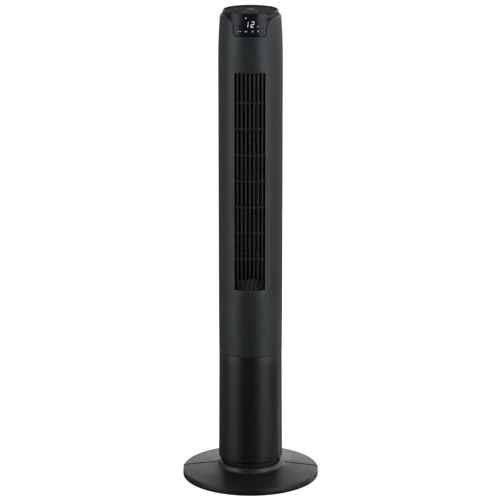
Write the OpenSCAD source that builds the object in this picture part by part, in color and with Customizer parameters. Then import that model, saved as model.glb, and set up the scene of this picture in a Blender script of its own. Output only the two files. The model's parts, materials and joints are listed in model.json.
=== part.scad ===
// Tower fan: round two-piece base, swinging column, slim head with a barred air outlet.
// Millimetres, +Z up, front towards -Y, origin at the centre of the footprint on the floor.

/* [Base] */
// Diameter of the round base
base_d = 312; // [280:2:340]
// Height of the top edge of the base rim
rim_h = 15; // [13:0.5:16]
// Height of the collar around the column
collar_h = 38; // [37.5:0.5:41]
// Distance of the joint between the base halves behind the centre
seam_y = 14; // [8:1:20]
// Number of rubber feet
foot_count = 6; // [3:1:8]

/* [Column] */
// Radius of the column at its foot
column_foot_r = 72.8; // [72:0.1:74]
// Radius of the column at its top
column_top_r = 71.3; // [70.8:0.1:71.5]
// Height of the joint between column and head
seam_h = 301.2; // [290:0.1:320]

/* [Head] */
// Largest radius of the head
head_r = 72; // [71.6:0.1:73]
// Height where the head starts to lean in
lean_h = 970; // [962:1:985]
// Radius of the curve of the leaning sides
lean_r = 1290; // [1200:10:1500]
// Thickness of the plastic walls
wall = 2.5; // [2:0.1:3]
// Height of the whole fan
total_h = 1084; // [1083:1:1086]

/* [Air outlet] */
// Half width of the outlet window
window_w = 34; // [32:0.5:35]
// Bottom of the outlet window
window_low = 458; // [455:1:460]
// Top of the outlet window
window_high = 953; // [950:1:954]
// Number of upright bars
bar_count = 7; // [5:1:7]
// Width of an upright bar
bar_w = 5.1; // [4:0.1:5.2]
// Number of cross bars
cross_count = 7; // [5:1:9]
// Height of a cross bar
cross_h = 2.4; // [2:0.1:3]

/* [Blower] */
// Radius of the blower wheel
wheel_r = 41; // [38:0.5:41]
// Distance of the wheel axis behind the centre
wheel_y = 8; // [7:0.5:9]
// Number of blades in a section
blade_count = 28; // [20:1:30]

/* [Swing drive] */
// Module of the swing gears
gear_module = 1.5; // [1.45:0.05:1.55]
// Teeth of the fixed gear
sun_teeth = 36; // [34:1:38]
// Teeth of the pinion
pinion_teeth = 12; // [11:1:13]

/* [Hidden] */
$fn = 96;
eps = 0.01;

black = [0.12, 0.12, 0.13];
gloss = [0.05, 0.05, 0.06];
grey = [0.35, 0.35, 0.37];
steel = [0.7, 0.71, 0.73];
white = [0.9, 0.9, 0.88];
copper = [0.72, 0.42, 0.22];
green = [0.1, 0.35, 0.2];

// Points on an arc about [x, y] from one angle to another
function arc(x, y, r, from, to, steps) = [
    for (i = [0:steps]) let (a = from + (to - from) * i / steps) [x + r * cos(a), y + r * sin(a)]
];
function flip(list) = [for (i = [len(list) - 1:-1:0]) list[i]];
function mirrored(list) = [for (p = flip(list)) [-p[0], p[1]]];

// A ring or tube about the z axis
module tube(outer, inner, low, high) {
    translate([0, 0, low])
        difference() {
            cylinder(r = outer, h = high - low);
            translate([0, 0, -1]) cylinder(r = inner, h = high - low + 2);
        }
}

module rod(r, low, high) {
    translate([0, 0, low]) cylinder(r = r, h = high - low, $fn = 48);
}

// A box given by its lowest and highest corners
module block(low, high) {
    translate(low) cube(high - low);
}

// A pan-head screw standing on [0, 0, 0], head above and shank below
module screw(head_r, head_h, shank_r, shank_l) {
    cylinder(r = head_r, h = head_h, $fn = 32);
    translate([0, 0, -shank_l]) cylinder(r = shank_r, h = shank_l + eps, $fn = 32);
}

// ---- Base ----

base_r = base_d / 2;
foot_h = 1.5;
rim_round = 1.2;
collar_r = 74;
collar_bore = 66;
floor_top = 27;
floor_low = 24.3;
stem_hole = 24.3;
slope_in_r = 90;
slope_in_h = 24;
tab_low = 9;
tab_high = 11.5;
tab_screws = [95, 130];
foot_ring = base_r - 15;

function slope_h(r) = slope_in_h - (r - slope_in_r) * (slope_in_h - rim_h) / (base_r - rim_round - slope_in_r);

base_wall = [
    [base_r, foot_h], [base_r, rim_h - rim_round], [base_r - 0.3 * rim_round, rim_h - 0.3 * rim_round],
    [base_r - rim_round, rim_h],
    [slope_in_r, slope_in_h], [84, 25.8], [80.5, 27.7], [78, 30], [76.3, collar_h - 5.9],
    [collar_r, collar_h - 3.7], [68, collar_h], [collar_bore, collar_h],
    [collar_bore, floor_top], [stem_hole, floor_top], [stem_hole, floor_low],
    [68.4, floor_low], [68.4, collar_h - 3.4], [73, collar_h - 6.4], [75.6, 29.8], [79, 25.8],
    [83, 23.3], [slope_in_r, slope_h(slope_in_r) - wall], [base_r - wall, rim_h - wall],
    [base_r - wall, foot_h]
];

module base_ring() {
    rotate_extrude() polygon(base_wall);
    for (i = [0:foot_count - 1])
        rotate([0, 0, (i + 0.5) * 360 / foot_count])
            translate([foot_ring, 0, 0]) rod(9.5, foot_h, slope_h(foot_ring) - 1);
}

module base_half(sign) {
    intersection() {
        base_ring();
        translate([-200, sign > 0 ? seam_y : seam_y - 400, -10]) cube([400, 400, 80]);
    }
}

module each_tab_screw() {
    for (side = [-1, 1])
        for (x = tab_screws)
            translate([side * x, seam_y + 9, tab_low]) children();
}

module base_front_half() {
    color(black)
        difference() {
            union() {
                base_half(-1);
                for (side = [-1, 1]) {
                    translate([side * (tab_screws[0] + tab_screws[1]) / 2, seam_y, 0])
                        block([-24, -14, tab_low], [24, 16, tab_high]);
                    for (x = tab_screws)
                        translate([side * x, seam_y - 8, 0]) rod(4, tab_low, slope_h(x) - 1);
                }
            }
            each_tab_screw() rod(1.9, -1, 4);
        }
}

module base_rear_half() {
    color(black)
        difference() {
            union() {
                base_half(1);
                for (side = [-1, 1])
                    for (x = tab_screws)
                        translate([side * x, seam_y + 9, 0]) rod(4, tab_high, slope_h(x + 3) - 1);
            }
            each_tab_screw() rod(1.6, 1, slope_h(tab_screws[1]) - tab_low - wall - 1);
        }
}

module base_feet() {
    color(grey)
        for (i = [0:foot_count - 1])
            rotate([0, 0, (i + 0.5) * 360 / foot_count])
                translate([foot_ring, 0, 0]) rod(9, 0, foot_h);
}

module base_screws() {
    color(steel)
        each_tab_screw()
            rotate([180, 0, 0]) screw(3.4, 2.2, 1.6, slope_h(tab_screws[1]) - tab_low - wall - 1.5);
}

// ---- Pivot between base and tower ----

stem_r = 24;
journal_r = 22;
journal_top = 55;
gear_seat_r = 20;
stem_bore = 15;
flange_r = 57;
flange_top = 31;
slide_top = 33;
table_low = 33.1;
gear_low = 55;
gear_high = 63;
run_fit = 0.05;

module spindle() {
    color(grey)
        rotate_extrude()
            polygon([
                [stem_bore, 12], [stem_r, 12], [stem_r, floor_top], [flange_r, floor_top],
                [flange_r, flange_top], [journal_r, flange_top], [journal_r, journal_top],
                [gear_seat_r, journal_top], [gear_seat_r, 66], [stem_bore, 66]
            ]);
}

module base_nut() {
    color(grey)
        difference() {
            union() {
                rod(34, 14.3, floor_low);
                for (a = [0:60:300])
                    rotate([0, 0, a]) block([30, -4, 14.3], [38, 4, floor_low]);
            }
            rod(stem_r, 10, 30);
        }
}

module slide_ring() {
    color(white) tube(flange_r - 1, 30, flange_top, slide_top);
}

// One ring keeps the turntable down, the other keeps the gear on its seat
module retaining_rings() {
    color(steel) {
        tube(27, journal_r, 52.15, journal_top);
        tube(23, gear_seat_r, gear_high, 64.5);
    }
}

// Half of one tooth's outline, from the root to the tip
function tooth(teeth) =
    let (pitch_r = gear_module * teeth / 2, width = 90 / teeth)
    [
        [pitch_r - 1.2 * gear_module, width * 1.42], [pitch_r - 0.6 * gear_module, width * 1.3],
        [pitch_r, width], [pitch_r + 0.5 * gear_module, width * 0.72],
        [pitch_r + 0.95 * gear_module, width * 0.38]
    ];

module gear_outline(teeth, slack) {
    half = tooth(teeth);
    shift = slack * 180 / PI / (gear_module * teeth / 2);
    points = [
        for (i = [0:teeth - 1])
            for (side = [-1, 1])
                for (k = [0:len(half) - 1])
                    let (p = half[side < 0 ? k : len(half) - 1 - k])
                    let (a = i * 360 / teeth + side * (p[1] - shift))
                    [p[0] * cos(a), p[0] * sin(a)]
    ];
    polygon(points);
}

gear_distance = gear_module * (sun_teeth + pinion_teeth) / 2 + 0.1;
gear_slack = 0.12;

module sun_gear() {
    color(white)
        difference() {
            translate([0, 0, gear_low])
                linear_extrude(gear_high - gear_low) rotate(90) gear_outline(sun_teeth, gear_slack);
            rod(gear_seat_r, gear_low - 1, gear_high + 1);
        }
}

// ---- Column ----

column_low = 46;
lip_r = 62.4;
lip_h = 2.6;
corner_r = 5.5;
seam_gap = 0.3;
column_top = seam_h - seam_gap;
head_low = seam_h + seam_gap;
table_r = 62;
ledge_h = column_low + lip_h;
bracket_low = 68;
bracket_high = 70.5;
post_x = 30;
gland_h = 82;
gland_bore = 3.6;
plate_low = 300;
plate_high = 303;

module column_shell() {
    top_in = column_top_r - wall;
    foot_in = column_foot_r - wall;
    color(black)
        difference() {
            rotate_extrude()
                polygon(concat(
                    [[lip_r, column_low]],
                    arc(column_foot_r - corner_r, column_low + corner_r, corner_r, -90, 0, 6),
                    [[column_top_r, column_top], [top_in, column_top], [foot_in, ledge_h + 6],
                     [foot_in - 0.5, ledge_h], [lip_r, ledge_h]]
                ));
            translate([0, 0, gland_h]) rotate([-90, 0, 0]) cylinder(r = 7, h = 100);
            each_coupling_screw(plate_low - 11) rod(3.5, 0, 20);
            each_table_screw() rod(1.4, -4.2, 1);
        }
}

module each_table_screw() {
    for (a = [45:90:315])
        rotate([0, 0, a]) translate([65.6, 0, ledge_h + wall]) children();
}

module turntable() {
    color(grey)
        difference() {
            union() {
                rotate_extrude()
                    polygon([
                        [journal_r + run_fit, table_low], [table_r, table_low],
                        [table_r, ledge_h], [69, ledge_h], [69, ledge_h + wall],
                        [table_r - wall, ledge_h + wall], [table_r - wall, table_low + 3],
                        [28, table_low + 3], [28, 52], [journal_r + run_fit, 52]
                    ]);
                for (side = [-1, 1])
                    translate([side * post_x, gear_distance, 0])
                        rod(5, table_low + 2, bracket_low);
            }
            for (side = [-1, 1])
                translate([side * post_x, gear_distance, 0]) rod(1.5, 56, bracket_low + 1);
            each_table_screw() rod(1.6, -wall - 1, 1);
        }
}

module turntable_screws() {
    color(steel) each_table_screw() screw(2.6, 1.8, 1.4, 4);
}

module motor_bracket() {
    color(steel)
        translate([0, 0, bracket_low])
            linear_extrude(bracket_high - bracket_low)
                difference() {
                    intersection() {
                        translate([-38, gear_distance - 14]) square([76, 40]);
                        circle(r = 62);
                    }
                    translate([0, gear_distance]) circle(r = 6);
                    for (side = [-1, 1])
                        translate([side * post_x, gear_distance]) circle(r = 1.8);
                }
}

module swing_motor() {
    color(steel)
        translate([0, gear_distance, 0])
            difference() {
                union() {
                    rod(24.5, bracket_high, 91);
                    for (side = [-1, 1])
                        translate([side * post_x, 0, 0]) rod(5, bracket_high, 72.5);
                    block([-33, -4, bracket_high], [33, 4, 72.5]);
                    block([-8, -29, 78], [8, -20, 90]);
                }
                rod(3.5 + run_fit, bracket_high - 1, 80);
                for (side = [-1, 1])
                    translate([side * post_x, 0, 0]) rod(1.8, bracket_high - 1, 74);
            }
}

module swing_motor_screws() {
    color(steel)
        for (side = [-1, 1])
            translate([side * post_x, gear_distance, 72.5]) screw(3, 2.2, 1.5, 14);
}

module swing_pinion() {
    color(white)
        translate([0, gear_distance, 0]) {
            translate([0, 0, gear_low])
                linear_extrude(gear_high - gear_low)
                    rotate(-90 + 180 / pinion_teeth) gear_outline(pinion_teeth, gear_slack);
            rod(3.5, gear_low, 79.5);
        }
}

module cord_gland() {
    color(black)
        translate([0, 0, gland_h])
            rotate([-90, 0, 0])
                difference() {
                    union() {
                        translate([0, 0, 66]) cylinder(r = 9, h = 3.2);
                        translate([0, 0, 69.1]) cylinder(r = 6.8, h = 3.8);
                        translate([0, 0, column_foot_r]) cylinder(r = 9, h = 2.2);
                    }
                    translate([0, 0, 60]) cylinder(r = gland_bore, h = 20);
                }
}

// ---- Joint between column and head ----

ring_r = 68.4;

module each_coupling_screw(h) {
    for (a = [50, 130])
        rotate([0, 0, a]) translate([ring_r, 0, h]) rotate([0, 90, 0]) children();
}

module coupling_ring() {
    color(grey)
        difference() {
            union() {
                rotate_extrude()
                    polygon([
                        [12, plate_low], [65, plate_low], [65, 280], [ring_r, 280],
                        [ring_r, 324], [65, 324], [65, plate_high], [12, plate_high]
                    ]);
                for (x = [-36, 36])
                    for (y = [-18, 30])
                        translate([x, y, 0]) rod(3.5, plate_high - 1, 311);
            }
            for (h = [plate_low - 11, plate_high + 12])
                each_coupling_screw(h) rod(1.5, -10, 1);
        }
}

module coupling_screws() {
    color(steel)
        for (h = [plate_low - 11, plate_high + 12])
            each_coupling_screw(h) screw(3.1, 1.9, 1.5, 8);
}

// ---- Head shells ----

shoulder_h = 1067;
shoulder_top = 1075;
cap_r = 62;
cap_hole = 62.5;
joint_x = 62;
joint_heights = [342, 705, 1020];
slot_pitch = 12.4;
slot_h = 5.4;
slot_w = 54;
slot_low = 470;
group_rows = 9;
group_count = 4;
group_pitch = 122;
slot_high = slot_low + (group_count - 1) * group_pitch + group_rows * slot_pitch;
recess_w = 56.5;
recess_deep = 0.6;
frame_low = window_low - 5;
frame_high = window_high + 5;

function lean(h) = head_r - pow(h - lean_h, 2) / (2 * lean_r);

// Outline of the head from the seam to the opening in its top, moved in by inset
function head_outline(inset) = concat(
    [[head_r - 0.5 - inset, head_low], [head_r - inset, 387], [head_r - inset, lean_h]],
    [for (i = [1:5]) let (h = lean_h + (shoulder_h - inset - lean_h) * i / 5) [lean(h) - inset, h]]
);

function shoulder(inset) = [
    for (i = [1:6])
        let (a = 80 * i / 6)
        [lean(shoulder_h) - 5 + (5 - inset) * cos(a), shoulder_h - inset + 8 * sin(a)]
];

head_wall = concat(
    head_outline(0), shoulder(0), [[cap_hole, shoulder_top], [cap_hole, shoulder_top - 3.5]],
    flip(head_outline(wall))
);

// Tongue of the control panel, drawn in x and z
tongue_low = 1035.5;
tongue_w = 35.3;
flare_r = 33.4;
groove = 1;

function tongue_side(grow) = concat(
    arc(tongue_w - 5, tongue_low + 5, 5 + grow, -90, 0, 5),
    [
        for (i = [0:8])
            let (a = 164.4 - 57.6 * i / 8)
            [tongue_w + grow + flare_r * (cos(15.6) + cos(a)), 1054 + flare_r * (sin(a) - sin(15.6))]
    ]
);

module tongue(grow) {
    rotate([90, 0, 0])
        translate([0, 0, 30])
            linear_extrude(60)
                polygon(concat(
                    tongue_side(grow), [[64, 1077.2 + grow], [64, 1095], [-64, 1095],
                    [-64, 1077.2 + grow]], mirrored(tongue_side(grow))
                ));
}

module each_joint() {
    for (h = joint_heights)
        for (side = [-1, 1])
            translate([side * joint_x, 0, h]) rotate([-90, 0, 0]) children();
}

module inside_shell(r) {
    intersection() {
        children();
        translate([0, 0, head_low]) cylinder(r1 = r - 0.5, r2 = r - 0.5, h = 760);
    }
}

module front_shell() {
    color(black)
        difference() {
            union() {
                rotate([0, 0, 180]) rotate_extrude(angle = 180) polygon(head_wall);
                inside_shell(head_r - 0.8) each_joint() rod(4.5, -31, 0);
            }
            block([-window_w, -90, window_low], [window_w, -30, window_high]);
            tongue(groove);
            each_joint() rod(1.6, -15, 1);
        }
}

module slot_cuts() {
    for (g = [0:group_count - 1])
        for (i = [0:group_rows - 1])
            translate([0, 0, slot_low + g * group_pitch + i * slot_pitch])
                block([-slot_w, 20, 0], [slot_w, 90, slot_h]);
}

// Shallow fields that the slots lie in
module recess_cuts() {
    for (g = [0:group_count - 1])
        translate([0, 0, slot_low + g * group_pitch - 5])
            intersection() {
                difference() {
                    cylinder(r = head_r + 5, h = group_rows * slot_pitch + 3);
                    translate([0, 0, -1])
                        cylinder(r = head_r - recess_deep, h = group_rows * slot_pitch + 5);
                }
                block([-recess_w, 20, -1], [recess_w, 90, 200]);
            }
}

module rear_ribs() {
    for (a = [46, 68, 90, 112, 134])
        rotate([0, 0, a - 1.3])
            rotate_extrude(angle = 2.6)
                polygon([
                    [head_r - wall - 2.5, slot_low - 6], [head_r - 1, slot_low - 6],
                    [head_r - 1, slot_high], [head_r - wall - 2.5, slot_high]
                ]);
}

module rear_shell() {
    color(black)
        difference() {
            union() {
                difference() {
                    union() {
                        rotate_extrude(angle = 180) polygon(head_wall);
                        inside_shell(head_r - 0.8) each_joint() rod(5, 0, 35);
                    }
                    slot_cuts();
                    recess_cuts();
                }
                rear_ribs();
            }
            each_joint() {
                rod(1.8, -1, 12);
                rod(3.6, 10, 60);
            }
            each_coupling_screw(plate_high + 12) rod(3.5, 0, 20);
        }
}

module shell_screws() {
    color(steel) each_joint() translate([0, 0, 10]) screw(3.3, 2.4, 1.6, 24);
}

// ---- Outlet grille and air duct ----

grille_r = head_r - 0.8;
grille_in_r = 66.3;
frame_r = head_r - wall - 0.2;
frame_in_r = 66;
frame_w = 35.8;
bar_pitch = (2 * window_w + bar_w) / (bar_count + 1);
cross_pitch = 59.3;
cross_first = 530.6;

// Part of a ring, seen from above, within a width about the front
module front_arc(outer, inner, half_width) {
    intersection() {
        difference() {
            circle(r = outer);
            circle(r = inner);
        }
        translate([-half_width, -80]) square([2 * half_width, 60]);
    }
}

module bars(outer, inner) {
    intersection() {
        front_arc(outer, inner, window_w);
        for (i = [1:bar_count])
            translate([-window_w - bar_w / 2 + i * bar_pitch - bar_w / 2, -80]) square([bar_w, 60]);
    }
}

module front_grille() {
    color(black) {
        difference() {
            translate([0, 0, frame_low])
                linear_extrude(frame_high - frame_low) front_arc(frame_r, frame_in_r, frame_w);
            block([-window_w, -90, window_low], [window_w, -30, window_high]);
        }
        translate([0, 0, window_low + 0.2])
            linear_extrude(window_high - window_low - 0.4) bars(grille_r, grille_in_r);
        translate([0, 0, window_low - 2])
            linear_extrude(window_high - window_low + 4) bars(frame_r - 0.3, grille_in_r + 0.3);
        for (i = [0:cross_count - 1])
            translate([0, 0, cross_first + i * cross_pitch - cross_h / 2])
                linear_extrude(cross_h) {
                    front_arc(grille_r - 0.3, 67, window_w - 0.2);
                    front_arc(frame_r - 0.3, 67, 35);
                }
    }
}

floor_plate_low = 451;
floor_plate_high = 454;
ceiling_low = 956;
ceiling_high = 959;
scroll_from = 150;
scroll_to = 240;
scroll_near = wheel_r + 3.5;
scroll_grow = 12;
duct_wall = 2;
duct_r = frame_in_r - 0.3;
duct_front = -55.8;
ramp_from = -27.5;
ramp_to = 31;

function scroll_points(extra) = [
    for (i = [0:12])
        let (a = scroll_from + (scroll_to - scroll_from) * i / 12)
        let (r = scroll_near + extra + scroll_grow * i / 12)
        [r * cos(a), wheel_y + r * sin(a)]
];

module scroll_duct() {
    color(grey)
        translate([0, 0, floor_plate_high])
            linear_extrude(ceiling_low - floor_plate_high)
                polygon(concat(
                    scroll_points(0), [[-window_w + 1.4, duct_front], [-window_w - 0.6, duct_front]],
                    flip(scroll_points(duct_wall))
                ));
}

module stabiliser() {
    color(grey)
        translate([0, 0, floor_plate_high])
            linear_extrude(ceiling_low - floor_plate_high)
                polygon([
                    [36.4, -16.4], [55, -16.4], [55, -18.4], [38.6, -18.4], [window_w + 0.6, duct_front],
                    [window_w - 1.4, duct_front], [35.8, -17.8]
                ]);
}

module duct_plate(low, high, hole_r) {
    difference() {
        union() {
            intersection() {
                rod(head_r - wall - 0.4, low, high);
                block([-80, duct_front + 0.6, low - 1], [80, 80, high + 1]);
            }
            rod(duct_r, low, high);
        }
        translate([0, wheel_y, 0]) rod(hole_r, low - 1, high + 1);
    }
}

module duct_floor() {
    color(grey) {
        duct_plate(floor_plate_low, floor_plate_high, 14);
        intersection() {
            rod(duct_r, floor_plate_low + 1, floor_plate_high + 30);
            rotate([90, 0, 90])
                translate([0, 0, ramp_from])
                    linear_extrude(ramp_to - ramp_from)
                        polygon([[-60, floor_plate_high - 0.5], [-38, floor_plate_high - 0.5],
                                 [-38, floor_plate_high + 21], [-60, floor_plate_high + 0.2]]);
        }
    }
}

module duct_ceiling() {
    color(grey) duct_plate(ceiling_low, ceiling_high, 9);
}

// ---- Blower wheel ----

wheel_low = 464;
wheel_high = 948;
section_count = 6;
section_h = (wheel_high - wheel_low) / section_count;
disc_h = 2.2;
shaft_r = 4;
stub_r = 3;

function blade_side(offset) = [
    for (i = [0:3])
        let (t = i / 3)
        [wheel_r - 8.6 + 8 * t, 6.5 * t * t - 2 + offset]
];

module blade() {
    polygon(concat(blade_side(-0.5), flip(blade_side(0.5))));
}

module impeller_section(index) {
    low = wheel_low + (index - 1) * section_h;
    color(grey)
        translate([0, wheel_y, low]) {
            tube(wheel_r, wheel_r - 10, 0, disc_h);
            translate([0, 0, disc_h - 0.2])
                linear_extrude(section_h - disc_h + 0.2)
                    for (i = [0:blade_count - 1])
                        rotate((i + index / 2) * 360 / blade_count) blade();
        }
}

module impeller_hub() {
    color(grey)
        translate([0, wheel_y, 0])
            difference() {
                union() {
                    rod(wheel_r, wheel_low - 2.5, wheel_low);
                    rod(10, 447, wheel_low - 2);
                }
                rod(shaft_r, 440, wheel_low - 3.5);
            }
}

module impeller_top_cap() {
    color(grey)
        translate([0, wheel_y, 0]) {
            rod(wheel_r, wheel_high, wheel_high + 2.5);
            rod(6, wheel_high + 2, wheel_high + 6);
            rod(stub_r, wheel_high + 5, 967);
        }
}

module top_bearing_holder() {
    color(grey)
        translate([0, wheel_y, 0])
            rotate_extrude()
                polygon([
                    [7, ceiling_high], [22, ceiling_high], [22, ceiling_high + 2],
                    [11, ceiling_high + 3], [11, 969], [4, 969], [4, 968], [7, 968]
                ]);
}

module top_bush() {
    color(copper) translate([0, wheel_y, 0]) tube(7, stub_r + run_fit, ceiling_high, 968);
}

// ---- Fan motor ----

stack_low = 398;
stack_high = 424;
stack_r = 40;
rotor_r = 24;
cup_r = 34;
bracket_depth = 13;
mount_low = 441;
mount_high = 443.5;
bolt_ring = 37.2;

module motor_rotor() {
    color(steel)
        translate([0, wheel_y, 0]) {
            rod(rotor_r, stack_low + 1, stack_high - 1);
            rod(shaft_r, stack_low - bracket_depth - 6, wheel_low - 3.5);
        }
}

module each_bolt() {
    for (a = [45:90:315])
        translate([0, wheel_y, 0]) rotate([0, 0, a]) translate([bolt_ring, 0, 0]) children();
}

module motor_stator() {
    color(steel)
        difference() {
            translate([0, wheel_y, 0]) tube(stack_r, rotor_r + 0.5, stack_low, stack_high);
            each_bolt() rod(1.7, stack_low - 1, stack_high + 1);
        }
}

module motor_windings() {
    color(copper)
        translate([0, wheel_y, 0]) {
            tube(cup_r - 3, 26, stack_low - 8, stack_low);
            tube(cup_r - 3, 26, stack_high, stack_high + 8);
        }
}

// Cup of sheet metal with a bearing boss, open side at z = 0
module end_cup() {
    rotate_extrude()
        polygon([
            [stack_r, 0], [stack_r, 2], [cup_r, 2], [cup_r, bracket_depth],
            [shaft_r + run_fit, bracket_depth], [shaft_r + run_fit, bracket_depth - 7],
            [9, bracket_depth - 7], [9, bracket_depth - 2],
            [cup_r - 2, bracket_depth - 2], [cup_r - 2, 0]
        ]);
}

module motor_upper_bracket() {
    color(steel)
        difference() {
            translate([0, wheel_y, stack_high]) end_cup();
            each_bolt() rod(1.7, stack_high - 1, stack_high + 4);
        }
}

module motor_lower_bracket() {
    color(steel)
        difference() {
            translate([0, wheel_y, stack_low]) mirror([0, 0, 1]) end_cup();
            each_bolt() rod(1.7, stack_low - 4, stack_low + 1);
        }
}

module motor_bolts() {
    color(steel)
        each_bolt() {
            rod(1.6, stack_low - 4, stack_high + 4);
            rod(2.9, stack_low - 4, stack_low - 2);
            rod(2.9, stack_high + 2, stack_high + 4);
        }
}

module each_damper() {
    for (a = [0:90:270])
        translate([0, wheel_y, 0]) rotate([0, 0, a]) translate([24, 0, 0]) children();
}

module motor_dampers() {
    color(black) each_damper() rod(5, stack_high + bracket_depth, mount_low);
}

module motor_mount() {
    color(grey)
        translate([0, wheel_y, 0])
            difference() {
                union() {
                    rod(48, mount_low, mount_high);
                    for (a = [45:90:315])
                        rotate([0, 0, a]) translate([42, 0, 0])
                            rod(4.5, mount_high - 1, floor_plate_low);
                }
                rod(14, mount_low - 1, mount_high + 1);
            }
}

// ---- Electronics ----

board_low = 311;
board_h = 1.6;
control_low = 1065;
display_y = -57;

module power_board() {
    top = board_low + board_h;
    color(green) {
        block([-41, -24, board_low], [41, 36, top]);
        block([-30, -14, top - 0.1], [-6, 6, 332]);
        block([4, -16, top - 0.1], [18, -4, 327]);
        block([22, -16, top - 0.1], [34, -4, 327]);
        block([-34, 20, top - 0.1], [34, 31, 324]);
        translate([16, 10, 0]) rod(6, top - 0.1, 334);
    }
}

module run_capacitor() {
    color(white) block([-20, -54, plate_high], [20, -34, plate_high + 26]);
}

board_post = [[-42, 8], [42, 8], [-22, 42], [22, 42]];

module control_board() {
    color(green)
        difference() {
            rod(52, control_low, control_low + board_h);
            block([-60, -60, control_low - 1], [60, -46, control_low + 5]);
            for (p = board_post)
                translate([p[0], p[1], 0]) rod(1.7, control_low - 1, control_low + 5);
        }
}

module board_screws() {
    color(steel)
        for (p = board_post)
            translate([p[0], p[1], control_low]) rotate([180, 0, 0]) screw(3, 2, 1.5, 10);
}

module display_board() {
    color(green) {
        block([-30, display_y, 1036], [30, display_y + board_h, 1066]);
        block([-24.5, face_y, 1039.5], [24.5, display_y + 0.1, 1064.5]);
        block([-11, display_y, 1064.5], [-6.6, display_y + board_h, 1073]);
        translate([-8.8, display_y + 0.1, 1070.8])
            rotate([90, 0, 0]) cylinder(r = 1.8, h = 1.7, $fn = 32);
    }
}

digit_h = 13;
digit_w = 7;
stroke = 1.6;
digit_low = 1051;
slant = 8;
face_y = display_y - 3.6;

// A bar of a digit between two points given in digit widths and half heights
module segment(from, to) {
    gap = 0.5;
    upright = from[0] == to[0];
    translate([from[0] * (digit_w - stroke), from[1] * (digit_h - stroke) / 2])
        if (upright)
            translate([0, gap]) square([stroke, (digit_h - stroke) / 2 + stroke - 2 * gap]);
        else
            translate([gap, 0]) square([digit_w - 2 * gap, stroke]);
}

module digit(x, segments) {
    translate([x, face_y, digit_low])
        rotate([90, 0, 0])
            linear_extrude(0.3)
                multmatrix([[1, tan(slant), 0, 0], [0, 1, 0, 0], [0, 0, 1, 0], [0, 0, 0, 1]])
                    for (s = segments) segment(s[0], s[1]);
}

icon_first = -22.7;
icon_pitch = 13.7;
icon_h = 1042.4;

// Glowing figures 1 and 2 with a row of round icons below
module led_segments() {
    color(white) {
        digit(-11.6, [[[1, 0], [1, 1]], [[1, 1], [1, 2]]]);
        digit(1.2, [[[0, 2], [1, 2]], [[1, 1], [1, 2]], [[0, 1], [1, 1]], [[0, 0], [0, 1]],
                    [[0, 0], [1, 0]]]);
        for (i = [0:3])
            translate([icon_first + i * icon_pitch, face_y, icon_h])
                rotate([90, 0, 0]) cylinder(r = 1.1, h = 0.3, $fn = 32);
    }
}

module ir_receiver() {
    color(black)
        translate([27.2, display_y, 1048]) rotate([90, 0, 0]) cylinder(r = 2.2, h = 2.4, $fn = 32);
}

// ---- Control panel and keys ----

panel_inset = 0.3;
panel_t = 2.2;
plate_r = cap_r - 2.4;
cover_low = 1079.4;
cover_high = 1081.8;
key_travel = 0.8;
key_gap = 0.35;
power_spot = [0, 12];
small_ring = 36;

// Places of the four small keys, in an arc in front of the power key
function small_spot(index) =
    let (a = 36 * (index - 1.5))
    [small_ring * sin(a), -small_ring * cos(a)];

panel_skin = concat(
    [[lean(1030) - panel_inset, 1030], [lean(1050) - panel_inset, 1050]],
    [[lean(shoulder_h) - panel_inset, shoulder_h - 1], [66.9, 1070], [64.6, 1073.6], [cap_r - 0.5, 1077]],
    [[cap_r - panel_t, 1074], [62.6, 1070.6], [64.6, 1068], [lean(shoulder_h) - panel_t - 0.6, 1064]],
    [[lean(1050) - panel_t - panel_inset, 1050], [lean(1030) - panel_t - panel_inset, 1030]]
);

module control_panel() {
    color(gloss) {
        rotate_extrude()
            polygon([
                [cap_r - panel_t, 1069], [cap_r, 1069], [cap_r, total_h - 1.2],
                [cap_r - 0.4, total_h - 0.3], [cap_r - 1.2, total_h], [cap_r - panel_t, total_h - 0.6],
                [cap_r - panel_t, cover_low], [cap_r - 5, cover_low], [cap_r - 5, cover_low - 2],
                [cap_r - panel_t, cover_low - 4]
            ]);
        intersection() {
            rotate([0, 0, 195]) rotate_extrude(angle = 150) polygon(panel_skin);
            tongue(0);
        }
    }
}

module key_hole(spot, r) {
    translate([spot[0], spot[1], 0]) rod(r + key_gap, cover_low - 1, cover_high + 1);
}

module top_plate() {
    color(gloss)
        difference() {
            union() {
                rod(plate_r, cover_low, cover_high);
                for (p = board_post)
                    translate([p[0], p[1], 0]) rod(3.2, control_low + board_h, cover_low + 1);
            }
            key_hole(power_spot, 9);
            for (i = [0:3]) key_hole(small_spot(i), 6);
            for (p = board_post)
                translate([p[0], p[1], 0]) rod(1.5, control_low, control_low + 11);
        }
}

// A push key: cap through the cover, flange below it, stem above its switch
module key(spot, r) {
    translate([spot[0], spot[1], 0]) {
        rod(r, cover_low - 1, cover_high + 0.6);
        rod(r + 1.4, cover_low - 1.8, cover_low - 0.3);
        rod(2.5, cover_low - 4.8, cover_low - 1.5);
    }
}

module power_key() {
    color(gloss) key(power_spot, 9);
}

module speed_key() {
    color(gloss) key(small_spot(0), 6);
}

module mode_key() {
    color(gloss) key(small_spot(1), 6);
}

module timer_key() {
    color(gloss) key(small_spot(2), 6);
}

module swing_key() {
    color(gloss) key(small_spot(3), 6);
}

module key_switches() {
    top = control_low + board_h;
    color(grey)
        for (spot = [power_spot, small_spot(0), small_spot(1), small_spot(2), small_spot(3)])
            translate([spot[0], spot[1], 0]) {
                block([-3, -3, top], [3, 3, top + 5]);
                rod(1.7, top + 4, cover_low - 4.8 - key_travel - 0.3);
            }
}

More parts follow.
